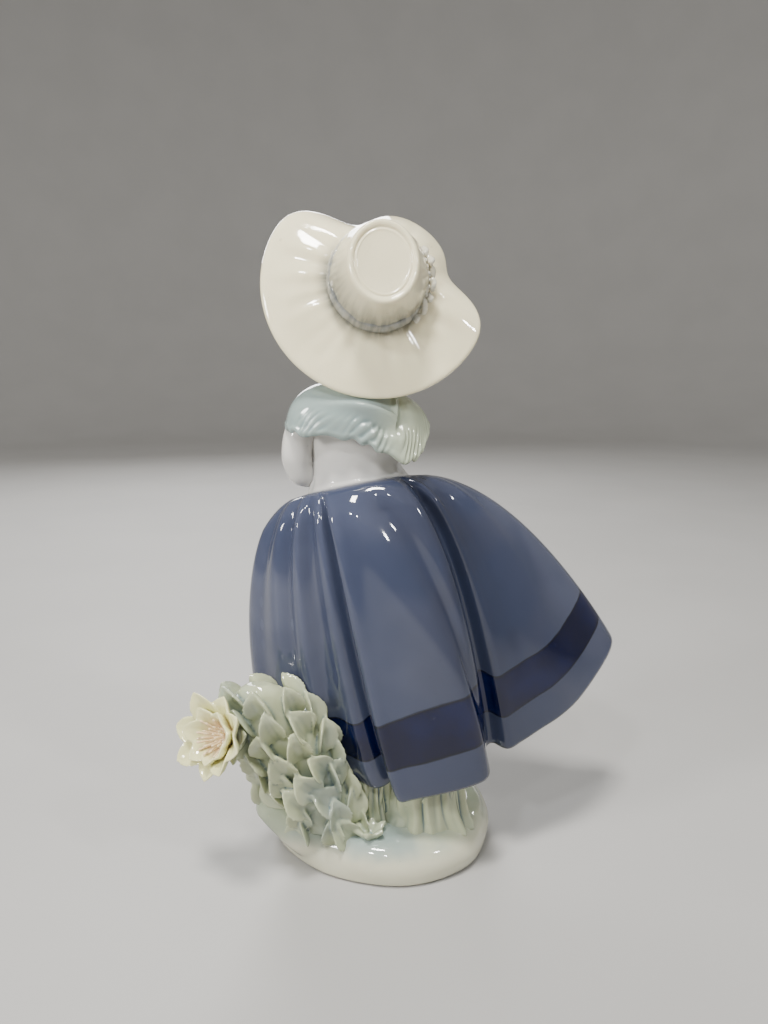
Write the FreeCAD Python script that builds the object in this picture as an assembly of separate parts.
"""Porcelain figurine of a girl in a sun hat, standing beside a flowering bush.

Millimetres. +Z is up, the origin is the middle of the foot that the figurine stands on, and the girl faces -Y,
so her left side is +X. The bush stands at her left, towards her back. Every piece is one that the maker casts or
shapes on its own and then joins with slip: a hollow piece has a wall of CAST_WALL, and a joint is either a flat
seat or a short spigot in a socket.
"""

import FreeCAD
import Part
import math
import os

from FreeCAD import Vector

# Driving dimensions
CAST_WALL = 2.4            # wall left by slip casting
VENT_RADIUS = 2.5          # hole that lets the air out of the hollow base in the kiln
BASE_TOP = 12.0            # height of the ground that the girl stands on

WAIST_CENTRE = Vector(7.0, 0.0, 0)
WAIST_HALF_WIDTH = 14.0
WAIST_HALF_DEPTH = 9.8
WAIST_PLANE = (107.4, -0.19, 0.22)      # z = a + b x + c y
HEM_PLANE = (33.7, -0.223, -0.45)
SKIRT_SPREAD = 0.55        # how early the skirt spreads below the waist: 1 is a plain cone
SKIRT_BULGE = 20.0         # how far the left side swells past the straight line from waist to hem
PETTICOAT_DEPTH = 5.0      # the underskirt sits this far up inside the hem
PETTICOAT_THICK = 2.5

HEAD_CENTRE = Vector(2.2, -0.6, 153.8)
HEAD_RADII = (10.8, 11.6, 13.2)
HAIR_THICK = 1.3

HAT_ORIGIN = Vector(1.5, 8.0, 159.2)    # middle of the crown where it meets the brim
HAT_AXIS = Vector(-0.11, 0.965, 0.235)  # worn far back on the head, like a halo
CROWN_RADIUS = 12.7
CROWN_TOP_RADIUS = 8.2
CROWN_HEIGHT = 13.5
CROWN_OVAL = (1.02, 1.22)               # height over width, at the brim and at the top: it grows late
BRIM_THICK = 1.9
RIBBON_WIDTH = 4.0
RIBBON_THICK = 0.7

BUSH_FOOT = Vector(16.0, 13.0, 12.5)
LEAF_ROWS = 4              # rows of leaves up the bush, and as many again between them
LEAVES_ROUND = 7
LEAF_RELIEF = 2.4
BLOOM_CENTRE = Vector(39.5, 24.0, 44.0)
BLOOM_AXIS = Vector(0.72, 0.62, 0.28)
BLOOM_REACH = 14.6         # from the bloom's axis to a petal's tip, along the petal
STAMENS = 12

# Skirt hem in plan, and the angle on the waist where each point's gather starts
HEM = [
    (31, -2, 0), (29, 6, 12), (22, 9, 25), (16, 13, 34), (10, 13, 42), (3, 16.5, 48), (-2, 16.8, 52),
    (-4, 21, 55), (-12, 22.5, 72), (-22.5, 22, 100), (-28, 19, 115), (-29.5, 12.5, 125), (-35, 12.5, 135),
    (-44, 9.5, 147), (-53, 4.5, 158), (-60, -2, 168), (-66, -9, 178), (-69.5, -16, 188), (-66, -21, 197),
    (-56, -21, 207), (-47, -26, 217), (-38, -23, 226), (-30, -28, 237), (-21, -24, 248), (-12, -29, 260),
    (-3, -25, 272), (6, -28, 284), (14, -23, 296), (22, -22, 310), (27, -14, 328), (31, -9, 345),
]
HEM_MIDDLE = Vector(-15, -2, 0)

# The brim's edge, measured from the hat's axis and along it
BRIM_REACH = 29.4          # its radius where nothing bends it
BRIM_DIP = 2.6             # how far it leans forwards of the crown's foot
BRIM_TILT = 1.5            # how much that grows and shrinks round the crown
BRIM_TILT_TURN = 215.0     # where it leans forwards least
# Bends: degrees from her left towards the top, half width in degrees, how far in, how far forwards, and how
# square the bend is. The brim is folded down over her forehead, and pinched there and at her right temple.
BRIM_BENDS = [(122, 70, 7.2, 6.8, 6), (76, 20, 4.0, 0.0, 2), (170, 16, 2.6, 0.0, 2)]

# Foot of the base in plan: an oval with three soft corners
FOOT_MIDDLE = Vector(-0.5, -1.5, 0)
FOOT_HALF_WIDTH = 30.5
FOOT_HALF_DEPTH = 24.5
FOOT_CORNER = 0.04         # how far a corner stands out, as a share
FOOT_CORNER_TURN = 105.0   # where the corner nearest her back is
FOOT_POINTS = 15


def unit(v):
    """v at length 1, as a new vector."""
    return Vector(v).normalize()


def closed_curve(points):
    """Smooth closed wire through the points."""
    curve = Part.BSplineCurve()
    curve.interpolate(Points=[Vector(p) for p in points], PeriodicFlag=True)
    return Part.Wire([curve.toShape()])


def loft(rings, straight=False):
    """Closed solid through rings of points in order, with flat ends; straight joins them by straight lines."""
    solid = Part.makeLoft([closed_curve(ring) for ring in rings], True, straight)
    if solid.Volume < 0:
        solid.reverse()
    return solid


def shell_solid(faces):
    """Closed solid from faces that share their edges."""
    skin = Part.makeShell([face for part in faces for face in part.Faces])
    skin.sewShape()
    solid = Part.makeSolid(skin)
    if solid.Volume < 0:
        solid.reverse()
    return solid


def band_solid(rings):
    """Closed ring-shaped solid whose cross-section runs through the rings of points and back to the first."""
    wires = [closed_curve(ring) for ring in rings]
    return shell_solid([Part.makeLoft(wires, False, False), Part.makeLoft([wires[-1], wires[0]], False, True)])


def oval(centre, across, along, half_width, half_depth, count=16):
    """Ring of points round centre: across and along are its two directions."""
    turns = [2 * math.pi * i / count for i in range(count)]
    return [centre + across * (half_width * math.cos(a)) + along * (half_depth * math.sin(a)) for a in turns]


def side_axes(direction, hint=Vector(0, 0, 1)):
    """Two unit vectors square to direction and to each other."""
    across = unit(hint.cross(direction))
    return across, unit(direction.cross(across))


def limb(stations, hint=Vector(0, 1, 0)):
    """Rounded bar through stations of (point, half width, half depth)."""
    rings = []
    last = len(stations) - 1
    for i, (point, half_width, half_depth) in enumerate(stations):
        direction = unit(stations[min(i + 1, last)][0] - stations[max(i - 1, 0)][0])
        across, along = side_axes(direction, hint)
        rings.append(oval(point, across, along, half_width, half_depth, 10))
    return loft(rings)


def ball(centre, radii):
    """Ellipsoid with its radii along X, Y and Z."""
    matrix = FreeCAD.Matrix()
    matrix.scale(*radii)
    matrix.move(centre)
    return Part.makeSphere(1.0).transformGeometry(matrix)


def leaf(root, direction, face, length, width, thick=1.3, cup=0.18, bend=0.12):
    """Leaf or petal: a thin cupped blade from root along direction, with its face towards face."""
    ahead = unit(direction)
    across = unit(ahead.cross(face))
    out = unit(across.cross(ahead))
    rings = []
    for s in (0.03, 0.25, 0.55, 0.82, 0.97):
        half = max(0.5 * width * math.sin(math.pi * s ** 0.85), 0.5)
        middle = root + ahead * (length * s) + out * (bend * length * s * s)
        ring = []
        for a in range(0, 360, 45):
            side = half * math.cos(math.radians(a))
            rise = 0.5 * thick * math.sin(math.radians(a)) + cup * half * (side / half) ** 2
            ring.append(middle + across * side + out * rise)
        rings.append(flattened(ring, ahead))
    return loft(rings)


def flattened(ring, normal):
    """The ring's points moved into one plane square to normal."""
    middle = ring[0]
    return [p - normal * (p - middle).dot(normal) for p in ring]


def largest(shape):
    """The biggest solid of a shape: what is left of a piece when a cut leaves slivers behind."""
    return max(shape.Solids, key=lambda solid: solid.Volume)


def pieces(solids):
    """One compound of separate solids."""
    return Part.makeCompound([s for shape in solids for s in shape.Solids])


# Base


def foot_ring(height, scale, shift_x=0.0, shift_y=0.0):
    """The base's outline at a height, scaled about the origin."""
    ring = []
    for k in range(FOOT_POINTS):
        angle = 2 * math.pi * k / FOOT_POINTS
        size = scale * (0.99 + FOOT_CORNER * math.cos(3 * (angle - math.radians(FOOT_CORNER_TURN))))
        x = FOOT_MIDDLE.x * scale + FOOT_HALF_WIDTH * size * math.cos(angle)
        y = FOOT_MIDDLE.y * scale + FOOT_HALF_DEPTH * size * math.sin(angle)
        ring.append(Vector(x + shift_x, y + shift_y, height))
    return ring


def base_mound():
    """Hollow cast mound of ground, flaring to her left where it carries the bush, with a vent in its floor."""
    levels = [(0, 1.0, 0, 0), (1.5, 1.03, 0, 0), (5, 1.055, 0.3, 0), (9, 1.03, 0.8, 0), (11.2, 0.95, 1, 0),
              (BASE_TOP, 0.85, 1, 0)]
    outside = loft([foot_ring(*level) for level in levels])
    ledge = limb([(Vector(13, 8, 5), 8, 7.5), (Vector(20.5, 10.5, 11), 9, 8), (Vector(28, 13.5, 17.5), 6.8, 6),
                  (Vector(33.5, 16, 22), 4.2, 4)])
    wall = CAST_WALL / 30
    hollow = loft([foot_ring(max(height, CAST_WALL) if height < 2 else height, scale - wall, x, y)
                   for height, scale, x, y in levels[1:-1]])
    vent = Part.makeCylinder(VENT_RADIUS, 3 * CAST_WALL, Vector(0, -6, -CAST_WALL))
    return outside.fuse(ledge).cut(hollow).cut(vent).removeSplitter()


def grass_clump(centre, top, half_width, half_depth, blades, lean):
    """Clump of broad grass blades as one ridged post, spreading from the ground up to the hem."""
    rings = []
    steps = 5
    for i in range(steps):
        s = i / (steps - 1)
        spread = 1.15 - 0.35 * s
        middle = centre + (top - centre) * s + lean * (s * s)
        ring = []
        for k in range(4 * blades):
            a = 2 * math.pi * k / (4 * blades)
            ridge = 1 + 0.09 * math.cos(blades * a)
            ring.append(Vector(middle.x + half_width * spread * ridge * math.cos(a),
                               middle.y + half_depth * spread * ridge * math.sin(a), middle.z))
        rings.append(ring)
    return loft(rings)


# Skirt


def skirt_ring(t, inset=0.0):
    """Flat ring of the skirt: t is 0 at the waist and 1 at the hem, inset moves it inwards."""
    a, b, c = (w + (h - w) * t for w, h in zip(WAIST_PLANE, HEM_PLANE))
    middle = WAIST_CENTRE + (HEM_MIDDLE - WAIST_CENTRE) * t ** SKIRT_SPREAD
    swell = t ** 0.35 * (1 - t) ** 0.8
    plan = []
    for x, y, degrees in HEM:
        angle = math.radians(degrees)
        start = WAIST_CENTRE + Vector(WAIST_HALF_WIDTH * math.cos(angle), WAIST_HALF_DEPTH * math.sin(angle), 0)
        spread = start + (Vector(x, y, 0) - start) * t ** SKIRT_SPREAD
        outward = Vector(math.cos(angle), math.sin(angle), 0)
        plan.append(spread + outward * (SKIRT_BULGE * swell * (0.55 + 0.45 * math.cos(angle))))
    if inset:
        reach = [(p - middle).Length for p in plan]
        least = [min(reach[i - 1], reach[i], reach[(i + 1) % len(reach)]) - inset for i in range(len(reach))]
        plan = [middle + unit(p - middle) * r for p, r in zip(plan, least)]
    return [Vector(p.x, p.y, a + b * p.x + c * p.y) for p in plan]


SKIRT_STEPS = (0.0, 0.04, 0.12, 0.25, 0.42, 0.6, 0.8, 1.0)


def skirt_outside():
    """The skirt as if it were filled."""
    return loft([skirt_ring(t) for t in SKIRT_STEPS])


def skirt_inside():
    """The space inside the skirt, open at the waist and through the hem."""
    return loft([skirt_ring(t, CAST_WALL) for t in SKIRT_STEPS])


def hem_slab(low, high):
    """Big flat slab along the hem plane, between two heights above it."""
    a, b, c = HEM_PLANE
    up = unit(Vector(-b, -c, 1))
    middle = Vector(HEM_MIDDLE.x, HEM_MIDDLE.y, a + b * HEM_MIDDLE.x + c * HEM_MIDDLE.y)
    across, along = side_axes(up, Vector(0, 1, 0))
    corners = [middle + up * low + across * x + along * y
               for x, y in ((-90, -90), (90, -90), (90, 90), (-90, 90), (-90, -90))]
    return Part.Face(Part.makePolygon(corners)).extrude(up * (high - low))


# Figure


def torso():
    """Hollow blouse from the spigot inside the waist up to the collar."""
    a, b, c = WAIST_PLANE
    slope = unit(Vector(-b, -c, 1))
    across, along = side_axes(slope, Vector(0, 1, 0))

    def at(x, y, lift):
        return Vector(x, y, a + b * x + c * y) + slope * lift

    spigot = loft([oval(at(7, 0, lift), across, along, WAIST_HALF_WIDTH - CAST_WALL - 0.6,
                        WAIST_HALF_DEPTH - CAST_WALL - 0.6) for lift in (-5, 0.2)])
    body = loft([
        oval(at(7, 0, 0.0), across, along, 13.6, 9.4),
        oval(at(7, 0, 1.2), across, along, 13.0, 9.2),
        oval(Vector(7.5, 0.2, 112.5), Vector(1, 0, -0.12), Vector(0, 1, 0.12), 12.0, 8.3),
        oval(Vector(7.2, 0.2, 119), Vector(1, 0, -0.06), Vector(0, 1, 0.1), 12.6, 8.6),
        oval(Vector(6.8, 0.6, 124.5), Vector(1, 0, 0), Vector(0, 1, 0.1), 12.6, 8.4),
        oval(Vector(6.5, 1.0, 128.5), Vector(1, 0, 0), Vector(0, 1, 0.1), 9.2, 7.0),
        oval(Vector(5.8, 1.3, 131.5), Vector(1, 0, 0), Vector(0, 1, 0.1), 5.2, 5.0),
    ])
    hollow = loft([
        oval(at(7, 0, -6), across, along, 8.2, 4.6),
        oval(Vector(6.9, 0.2, 113), Vector(1, 0, 0), Vector(0, 1, 0), 8.3, 5.8),
        oval(Vector(6.8, 0.4, 121), Vector(1, 0, 0), Vector(0, 1, 0), 9.4, 6.0),
        oval(Vector(6.6, 0.8, 125.5), Vector(1, 0, 0), Vector(0, 1, 0), 6.5, 4.6),
    ])
    return body.fuse(spigot).cut(hollow)


def neck():
    """Neck with a spigot that sits in the collar."""
    return limb([(Vector(5.9, 1.3, 127.5), 3.9, 3.8), (Vector(5.6, 1.3, 132.0), 3.9, 3.8),
                 (Vector(4.4, 1.4, 138.0), 3.8, 3.8), (Vector(3.4, 1.4, 144.0), 4.2, 4.2)])


def head():
    """Hollow head with a plain nose and chin, looking towards -Y."""
    skull = ball(HEAD_CENTRE, HEAD_RADII)
    nose = limb([(HEAD_CENTRE + Vector(0, -9.6, 1.5), 0.9, 0.8), (HEAD_CENTRE + Vector(0, -11.2, -1.8), 1.2, 1.1),
                 (HEAD_CENTRE + Vector(0, -10.2, -3.0), 0.8, 0.7)], Vector(1, 0, 0))
    hollow = ball(HEAD_CENTRE, [r - CAST_WALL for r in HEAD_RADII])
    return skull.fuse(nose).cut(hollow)


def hair():
    """Cap of hair over the back, top and sides of the head, open round the face."""
    outer = ball(HEAD_CENTRE + Vector(0, 0.6, 0.2), [r + HAIR_THICK for r in HEAD_RADII])
    face_gap = Part.makeCylinder(8.4, 20, HEAD_CENTRE + Vector(0, -3.5, -2.2), Vector(0, -1, -0.1))
    return outer.cut(ball(HEAD_CENTRE, HEAD_RADII)).cut(face_gap)


def left_sleeve():
    """Her left sleeve: down to the elbow at her side, then forwards to the wrist."""
    return limb([(Vector(18.0, 0.6, 126.5), 3.6, 3.6), (Vector(22.2, 1.4, 121.0), 4.2, 4.3),
                 (Vector(23.4, 1.8, 114.0), 4.0, 4.2), (Vector(21.6, -0.8, 108.6), 3.5, 3.7),
                 (Vector(17.6, -7.5, 109.6), 3.0, 3.1), (Vector(12.6, -13.2, 111.5), 2.6, 2.6)], Vector(1, 0, 0.2))


def right_sleeve():
    """Her right sleeve, held forwards so that her back hides it."""
    return limb([(Vector(-3.4, 0.0, 126.0), 3.6, 3.6), (Vector(-5.4, -4.6, 120.5), 3.8, 4.0),
                 (Vector(-4.6, -9.4, 115.0), 3.4, 3.5), (Vector(-1.2, -13.0, 112.2), 2.8, 2.8),
                 (Vector(3.4, -15.2, 111.2), 2.5, 2.5)], Vector(1, 0, 0.2))


def hand(wrist, knuckles, tips, width):
    """Closed hand from wrist to finger tips."""
    return limb([(wrist, 1.9, 1.7), (wrist + (knuckles - wrist) * 0.5, 2.3, 1.6), (knuckles, width, 1.5),
                 (tips, width * 0.6, 0.9)], Vector(0, 0, 1))


def leg(hip, ankle):
    """Stockinged lower leg from the petticoat down into the shoe."""
    calf = ankle + (hip - ankle) * 0.62 + Vector(0, 0.8, 0)
    return limb([(ankle + Vector(0, 0, -0.5), 2.3, 2.6), (ankle + (hip - ankle) * 0.2, 2.4, 2.7),
                 (calf, 3.9, 4.2), (hip, 4.0, 4.2)])


def shoe(heel, toe):
    """Flat shoe standing on the ground, its opening filled by the foot."""
    ahead = toe - heel
    side, up = side_axes(unit(ahead), Vector(0, 0, 1))
    stations = ((0.0, 1.9, 2.0, 3.0), (0.3, 2.6, 2.8, 3.0), (0.7, 3.0, 2.1, 2.2), (0.93, 2.2, 1.4, 1.5),
                (1.0, 1.0, 0.8, 0.9))
    rings = [oval(heel + ahead * s + Vector(0, 0, lift), side, up, half_width, half_height, 12)
             for s, half_width, half_height, lift in stations]
    ground = Part.makeBox(60, 60, 20, Vector(heel.x - 30, heel.y - 30, heel.z - 20))
    return loft(rings).cut(ground)


# Hat


def hat_axes():
    """The hat's axis, and the two directions in the plane of its brim: towards her left, and up."""
    axis = unit(HAT_AXIS)
    across = unit(axis.cross(Vector(0, 0, 1)))
    return axis, across, unit(across.cross(axis))


def crown_ring(radius, lift):
    """Ring round the crown, taller than it is wide."""
    axis, across, up = hat_axes()
    low, high = CROWN_OVAL
    height = radius * (low + (high - low) * (lift / CROWN_HEIGHT) ** 2)
    return oval(HAT_ORIGIN + axis * lift, across, up, radius, height)


def hat_crown():
    """Cup of the hat, with a rounded edge to its flat top."""
    profile = [(CROWN_RADIUS, 0), (CROWN_RADIUS - 0.4, 3), (11.3, 6.5), (9.9, 10), (CROWN_TOP_RADIUS + 0.7, 12.4),
               (CROWN_TOP_RADIUS - 0.8, CROWN_HEIGHT)]
    outside = loft([crown_ring(radius, lift) for radius, lift in profile])
    inside = loft([crown_ring(radius - 1.7, lift) for radius, lift in profile[:-1]])
    dish = loft([crown_ring(CROWN_TOP_RADIUS - 2.0, lift) for lift in (CROWN_HEIGHT - 0.4, CROWN_HEIGHT + 1)])
    return outside.cut(inside).cut(dish)


def brim_edge(degrees):
    """The brim's edge at an angle round the crown: its reach from the hat's axis and its lift along it."""
    reach = BRIM_REACH
    lift = BRIM_TILT * math.cos(math.radians(degrees - BRIM_TILT_TURN)) - BRIM_DIP
    for middle, half_width, inwards, forwards, square in BRIM_BENDS:
        share = math.exp(-abs((degrees - middle) / half_width) ** square)
        reach -= inwards * share
        lift -= forwards * share
    return reach, lift


def hat_brim():
    """Wide floppy brim: a wavy plate with a rounded rim, cut away inside the crown."""
    axis, across, up = hat_axes()
    inner = CROWN_RADIUS - 1.6
    half = 0.5 * BRIM_THICK
    profile = [(0.0, half), (0.3, half), (0.6, half), (0.85, half), (0.97, 0.7 * half), (1.0, 0.0),
               (0.97, -0.7 * half), (0.85, -half), (0.6, -half), (0.3, -half), (0.0, -half)]
    rings = []
    for share, side in profile:
        ring = []
        for degrees in range(0, 360, 12):
            reach, lift = brim_edge(degrees)
            angle = math.radians(degrees)
            radius = inner + (reach - inner) * share
            height = lift * share ** 1.6 + side - half
            ring.append(HAT_ORIGIN + across * (radius * math.cos(angle)) + up * (radius * math.sin(angle))
                        + axis * height)
        rings.append(ring)
    opening = loft([crown_ring(inner - 0.6, lift) for lift in (-3, 3)])
    return loft(rings, True).cut(opening)


def hat_ribbon():
    """Ribbon round the foot of the crown."""
    rings = [crown_ring(CROWN_RADIUS + 0.05 + out, lift) for out, lift in
             ((0.0, 0.1), (RIBBON_THICK, 0.2), (RIBBON_THICK - 0.5, RIBBON_WIDTH), (-0.55, RIBBON_WIDTH))]
    return band_solid(rings)


def hat_bow():
    """Two loops, a knot and two tails, lying against the crown at her right."""
    axis, across, up = hat_axes()
    seat = HAT_ORIGIN - across * (CROWN_RADIUS + 0.4) + up * 2.0 + axis * 3.2
    loops = [leaf(seat, up * side + across * 0.25, axis - across, 6.0, 4.0, 1.4) for side in (1, -1)]
    tails = [leaf(seat, up * side * 0.5 - axis * 0.5 - across * 0.5, axis, 4.5, 2.4, 1.0) for side in (1, -1)]
    knot = ball(seat, (1.5, 1.8, 1.8))
    return knot.multiFuse([*loops, *tails])


# Shawl


def shawl():
    """Kerchief laid over both shoulders, with its point hanging behind her right shoulder."""
    outline = [
        (18.5, -7.5, 121.5), (23.5, -4.0, 122.0), (26.0, 1.5, 121.5), (24.0, 7.5, 121.0), (18.0, 10.6, 120.0),
        (10.0, 11.2, 119.4), (3.0, 11.8, 117.0), (-2.6, 12.0, 114.0), (-6.6, 11.2, 113.8), (-9.4, 8.0, 117.5),
        (-10.4, 3.0, 121.5), (-9.6, -3.0, 121.0), (-5.5, -7.5, 120.0), (6.0, -10.5, 119.0),
    ]
    rings = []
    for share, side in ((0.0, 1), (0.25, 1), (0.6, 1), (0.92, 1), (1.0, 0), (0.92, -1), (0.6, -1), (0.25, -1),
                        (0.0, -1)):
        ring = []
        for k, low in enumerate(outline):
            turn = math.radians(-48 + 360 * k / len(outline))
            high = Vector(5.9 + 6.0 * math.cos(turn), 1.2 + 5.9 * math.sin(turn), 133.0)
            point = high + (Vector(low) - high) * share
            out = unit(Vector(point.x - 6.5, point.y - 1, 5.0))
            puff = 3.2 * math.sin(math.pi * share * 0.9)
            ring.append(point + out * puff + (out * 0.85 * side if share else Vector(0, 0, 0.85 * side)))
        rings.append(ring)
    return loft(rings)


def fringe_tuft(root, direction, face, length):
    """One hanging lock of the shawl's fringe."""
    return leaf(root, direction, face, length, 1.9, 1.0, 0.05, 0.05)


def shawl_fringe():
    """Locks of fringe hanging along the shawl's lower edge, behind her."""
    edge = [(22.5, 10.2, 121.2), (18.0, 12.0, 120.4), (13.5, 12.6, 119.9), (9.0, 12.9, 119.4), (5.0, 13.2, 118.3),
            (1.5, 13.4, 117.0), (-2.0, 13.4, 115.4), (-5.2, 13.0, 114.4), (-8.2, 10.8, 115.6), (-10.4, 8.2, 118.6),
            (-11.4, 4.8, 121.0)]
    middle = Vector(6.5, 1.0, 0)
    locks = []
    for x, y, z in edge:
        out = unit(Vector(x, y, 0) - middle)
        locks.append(fringe_tuft(Vector(x, y, z - 0.5), Vector(0.1, 0, -1) + out * 0.25, out, 4.0))
    return pieces(locks)


# Bush and bloom


def bush_spine(s):
    """Middle and radii of the foliage at s, from 0 at the ground to 1 at the tip."""
    middle = BUSH_FOOT + Vector(16.5 * s ** 0.9, 7.5 * s, 45.0 * s)
    radius = 11.0 * (1 - s) ** 0.4 * (0.78 + 0.85 * s) + 1.0
    return middle, radius, 0.62 * radius


def leaf_relief(s, turn):
    """How far the leaves stand out at s up the bush and a share of a turn round it: 1 is the most."""
    most = 0.0
    for shift in (0.0, 0.5):
        along = (s * LEAF_ROWS + shift) % 1.0
        across = 2 * ((turn * LEAVES_ROUND + shift) % 1.0) - 1
        blade = max(0.0, 1 - (across / (1.1 - 0.7 * along)) ** 2)
        most = max(most, along ** 0.8 * (1 - along ** 5) * blade * 1.5)
    return most


def bush():
    """Leaning mass of broad leaves, pressed as one lump: each leaf overlaps the two above it."""
    rings = []
    for i in range(4 * LEAF_ROWS):
        s = 0.95 * i / (4 * LEAF_ROWS - 1)
        middle, half_width, half_depth = bush_spine(s)
        ring = []
        for k in range(4 * LEAVES_ROUND):
            turn = k / (4 * LEAVES_ROUND)
            angle = 2 * math.pi * turn
            stand = LEAF_RELIEF * leaf_relief(s, turn) * (1 - s ** 8)
            ring.append(middle + Vector((half_width - 0.6 + stand) * math.cos(angle),
                                        (half_depth - 0.6 + stand) * math.sin(angle), 0))
        rings.append(ring)
    return loft(rings, True)


def bloom_petals(count, reach, width, rise, turn, inner):
    """Ring of petals round the bloom's axis; rise lifts their tips along it, so that they make a cup."""
    axis = unit(BLOOM_AXIS)
    across, up = side_axes(axis)
    petals = []
    for k in range(count):
        angle = 2 * math.pi * (k + turn) / count
        out = across * math.cos(angle) + up * math.sin(angle)
        root = BLOOM_CENTRE + out * inner + axis * (rise * 0.1)
        petals.append(leaf(root, out + axis * rise, axis, reach - inner, width, 1.1, 0.2, 0.1))
    return pieces(petals)


def bloom_heart():
    """Domed cushion of stamens in the middle of the bloom."""
    axis = unit(BLOOM_AXIS)
    across, up = side_axes(axis)
    return loft([oval(BLOOM_CENTRE + axis * lift, across, up, radius, radius, 12)
                 for lift, radius in ((-1.0, 2.4), (0.8, 3.4), (2.2, 2.6), (2.9, 0.9))])


def bloom_stamens():
    """Fan of stamens lying outwards from the heart over the inner petals."""
    axis = unit(BLOOM_AXIS)
    across, up = side_axes(axis)
    rods = []
    for k in range(STAMENS):
        angle = 2 * math.pi * k / STAMENS
        out = across * math.cos(angle) + up * math.sin(angle)
        root = BLOOM_CENTRE + out * 1.2 + axis * 1.6
        rods.append(Part.makeCone(0.55, 0.4, 6.5, root, out * 0.35 + axis))
    return pieces(rods)


def bloom_calyx():
    """Cup behind the petals, on the stalk that joins the bloom to the bush."""
    axis = unit(BLOOM_AXIS)
    return limb([(BLOOM_CENTRE - axis * 12 - Vector(0, 0, 1.0), 2.2, 2.2), (BLOOM_CENTRE - axis * 6, 2.4, 2.4),
                 (BLOOM_CENTRE - axis * 3, 4.6, 4.6), (BLOOM_CENTRE - axis * 1.2, 5.2, 5.2)], Vector(0, 0, 1))


def build():
    """All the pieces by name. Where two would meet, the one that is joined on later is trimmed to the other."""
    made = {}
    made["base_mound"] = base_mound()
    outside = skirt_outside()
    inside = skirt_inside()
    made["skirt"] = outside.cut(inside)
    low, high = PETTICOAT_DEPTH, PETTICOAT_DEPTH + PETTICOAT_THICK
    made["petticoat"] = inside.common(hem_slab(low, high))
    below_petticoat = hem_slab(-80, low)
    mound = made["base_mound"]

    for name, hip, ankle in (("left", Vector(8, -8, 60), Vector(6, -11, BASE_TOP + 3)),
                             ("right", Vector(-9, -7, 60), Vector(-20, -6, BASE_TOP + 3))):
        turned_out = Vector(1.2 if name == "left" else -2.2, -7.4, 0)
        heel = Vector(ankle.x, ankle.y + 2.2, BASE_TOP)
        made[name + "_shoe"] = shoe(heel, heel + turned_out * 1.25)
        made[name + "_leg"] = leg(hip, ankle).common(below_petticoat).cut(made[name + "_shoe"])

    below_hem = hem_slab(-80, 0)
    post = limb([(Vector(-8, 5, BASE_TOP - 1), 6, 5), (Vector(-9, 4, 35), 5.5, 4.5), (Vector(-10, 3, 60), 6, 5)])
    made["support_post"] = largest(post.common(below_petticoat).cut(mound))
    clump = grass_clump(Vector(-12.5, 8, BASE_TOP - 2), Vector(-13.5, 10, 40), 13, 8, 9, Vector(0, 0, 0))
    side_clump = grass_clump(Vector(5, 10, BASE_TOP - 1), Vector(5.5, 10, 40), 5.5, 4.5, 6, Vector(0, 0, 0))
    made["grass_back"] = largest(clump.common(below_hem).cut(mound).cut(made["support_post"]))
    side_clump = side_clump.common(below_hem).cut(mound).cut(made["support_post"])
    made["grass_side"] = largest(side_clump.cut(made["grass_back"]))

    made["torso"] = torso().cut(made["skirt"])
    made["neck"] = neck()
    made["torso"] = made["torso"].cut(made["neck"])
    made["head"] = head().cut(made["neck"])
    made["hair"] = hair().cut(made["neck"])
    for side, sleeve in (("left", left_sleeve()), ("right", right_sleeve())):
        made[side + "_sleeve"] = largest(sleeve.cut(made["torso"]))
    made["left_hand"] = hand(Vector(12.9, -12.8, 111.4), Vector(8.4, -16.6, 111.6), Vector(5.2, -17.6, 109.6), 2.4)
    made["right_hand"] = hand(Vector(3.2, -15.1, 111.2), Vector(6.6, -18.4, 113.6), Vector(9.6, -20.2, 112.0), 2.3)
    for side in ("left", "right"):
        made[side + "_hand"] = largest(made[side + "_hand"].cut(made[side + "_sleeve"]))
    made["right_hand"] = made["right_hand"].cut(made["left_hand"])

    made["shawl"] = largest(shawl().cut(made["neck"]).cut(made["left_sleeve"]).cut(made["right_sleeve"]))
    made["shawl_fringe"] = shawl_fringe().cut(made["shawl"])

    made["hat_crown"] = hat_crown()
    made["hat_brim"] = largest(hat_brim().cut(made["hair"]))
    made["hat_crown"] = made["hat_crown"].cut(made["hair"]).cut(made["hat_brim"])
    made["hat_ribbon"] = hat_ribbon().cut(made["hat_crown"]).cut(made["hat_brim"])
    made["hat_bow"] = hat_bow().cut(made["hat_crown"]).cut(made["hat_brim"]).cut(made["hat_ribbon"])

    made["bush"] = largest(bush().cut(mound).cut(outside))
    made["bloom_calyx"] = largest(bloom_calyx().cut(made["bush"]))
    made["bloom_outer_petals"] = bloom_petals(8, BLOOM_REACH, 7.6, 0.95, 0.0, 4.4)
    made["bloom_inner_petals"] = bloom_petals(7, BLOOM_REACH * 0.78, 5.4, 1.8, 0.5, 3.2)
    made["bloom_heart"] = bloom_heart()
    made["bloom_stamens"] = bloom_stamens().cut(made["bloom_heart"])
    return made


def main():
    os.makedirs("parts", exist_ok=True)
    for name, shape in build().items():
        solids = shape.Solids
        shape = solids[0] if len(solids) == 1 else Part.makeCompound(solids)
        print(f"{name:20s} solids {len(solids)} valid {shape.isValid()} volume {shape.Volume:.0f}")
        shape.exportStep(f"parts/{name}.step")


main()
